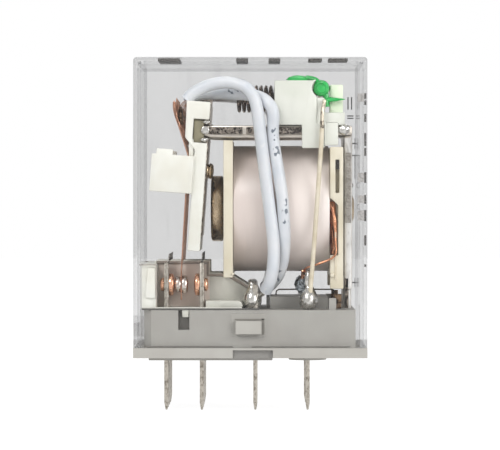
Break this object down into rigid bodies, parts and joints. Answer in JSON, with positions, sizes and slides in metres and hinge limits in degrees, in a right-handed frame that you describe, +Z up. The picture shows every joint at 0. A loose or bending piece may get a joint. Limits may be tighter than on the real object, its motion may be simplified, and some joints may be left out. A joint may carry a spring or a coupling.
{
  "type": "plug-in relay",
  "caption": "Miniature plug-in relay: clear cover over a coil, hinged armature and changeover contacts, flat plug blades below, indicator lamp.",
  "frame": {"origin": "middle of the seating plane, the underside of the base pads", "axes": "+X from the contacts to the coil blades, +Y across the relay, +Z up out of the socket"},
  "size_m": [0.028, 0.0216, 0.0424],
  "materials": {
    "grey_base": "moulded grey thermoplastic, fine matt skin",
    "clear_cover": "clear polycarbonate, polished",
    "white_moulding": "white glass-filled moulding",
    "tinned_blade": "hot-tinned brass, mottled",
    "copper_contact": "copper-backed contact rivet",
    "silver_contact": "silver alloy contact rivet",
    "copper_leaf": "rolled copper alloy spring strip",
    "pole_steel": "dark passivated turned steel",
    "cream_bobbin": "cream moulded bobbin",
    "enamelled_wire": "enamelled copper wire",
    "coil_tape": "satin polyester tape over the winding",
    "nickel_steel": "nickel plated, rough sheared edges",
    "spring_steel": "oiled spring wire",
    "lead_insulation": "blue-white PVC insulation, satin",
    "green_lens": "tinted epoxy lens",
    "green_lacquer": "lacquered resistor body",
    "cream_sleeve": "extruded sleeve on a bare lead"
  },
  "bodies": {
    "frame": {"base": "grey_base", "cover": "clear_cover", "contact_barrier": "white_moulding", "nc_terminal_1": "tinned_blade", "nc_terminal_2": "tinned_blade", "nc_terminal_3": "tinned_blade", "nc_terminal_4": "tinned_blade", "no_terminal_1": "tinned_blade", "no_terminal_2": "tinned_blade", "no_terminal_3": "tinned_blade", "no_terminal_4": "tinned_blade", "com_terminal_1": "tinned_blade", "com_terminal_2": "tinned_blade", "com_terminal_3": "tinned_blade", "com_terminal_4": "tinned_blade", "coil_terminal_1": "tinned_blade", "coil_terminal_2": "tinned_blade", "nc_contact_1": "copper_contact", "nc_contact_2": "copper_contact", "nc_contact_3": "copper_contact", "nc_contact_4": "copper_contact", "no_contact_1": "copper_contact", "no_contact_2": "copper_contact", "no_contact_3": "copper_contact", "no_contact_4": "copper_contact", "core": "pole_steel", "bobbin": "cream_bobbin", "coil_winding": "enamelled_wire", "coil_tape": "coil_tape", "yoke": "nickel_steel", "return_spring": "spring_steel", "contact_lead_1": "lead_insulation", "contact_lead_2": "lead_insulation", "contact_lead_3": "lead_insulation", "contact_lead_4": "lead_insulation", "lamp_holder": "white_moulding", "lamp": "green_lens", "lamp_resistor": "green_lacquer", "lamp_lead_1": "cream_sleeve", "lamp_lead_2": "cream_sleeve", "winding_lead_1": "enamelled_wire", "winding_lead_2": "enamelled_wire"},
    "armature": {"armature_plate": "nickel_steel", "card": "white_moulding", "armature_rivet_1": "nickel_steel", "armature_rivet_2": "nickel_steel"},
    "contact_arm_1": {"moving_spring_1": "copper_leaf", "moving_contact_1": "silver_contact"},
    "contact_arm_2": {"moving_spring_2": "copper_leaf", "moving_contact_2": "silver_contact"},
    "contact_arm_3": {"moving_spring_3": "copper_leaf", "moving_contact_3": "silver_contact"},
    "contact_arm_4": {"moving_spring_4": "copper_leaf", "moving_contact_4": "silver_contact"}
  },
  "joints": [
    {"name": "armature_hinge", "type": "hinge", "parent": "frame", "child": "armature", "pos_m": [-0.005, 0, 0.027], "axis": [0, -1, 0], "range_deg": [0, 4.1], "stiffness_Nm_per_rad": 0.0022, "springref_deg": -36.67, "deforming": ["return_spring", "contact_lead_1", "contact_lead_2", "contact_lead_3", "contact_lead_4"]},
    {"name": "contact_flex_1", "type": "hinge", "parent": "armature", "child": "contact_arm_1", "pos_m": [-0.00778, -0.0066, 0.0202], "axis": [0, -1, 0], "range_deg": [-3.7, 0], "deforming": ["moving_spring_1"]},
    {"name": "contact_flex_2", "type": "hinge", "parent": "armature", "child": "contact_arm_2", "pos_m": [-0.00778, -0.0022, 0.0202], "axis": [0, -1, 0], "range_deg": [-3.7, 0], "deforming": ["moving_spring_2"]},
    {"name": "contact_flex_3", "type": "hinge", "parent": "armature", "child": "contact_arm_3", "pos_m": [-0.00778, 0.0022, 0.0202], "axis": [0, -1, 0], "range_deg": [-3.7, 0], "deforming": ["moving_spring_3"]},
    {"name": "contact_flex_4", "type": "hinge", "parent": "armature", "child": "contact_arm_4", "pos_m": [-0.00778, 0.0066, 0.0202], "axis": [0, -1, 0], "range_deg": [-3.7, 0], "deforming": ["moving_spring_4"]}
  ],
  "couplings": [
    {"joint": "contact_flex_1", "follows": "armature_hinge", "ratio": -0.87},
    {"joint": "contact_flex_2", "follows": "armature_hinge", "ratio": -0.87},
    {"joint": "contact_flex_3", "follows": "armature_hinge", "ratio": -0.87},
    {"joint": "contact_flex_4", "follows": "armature_hinge", "ratio": -0.87}
  ]
}
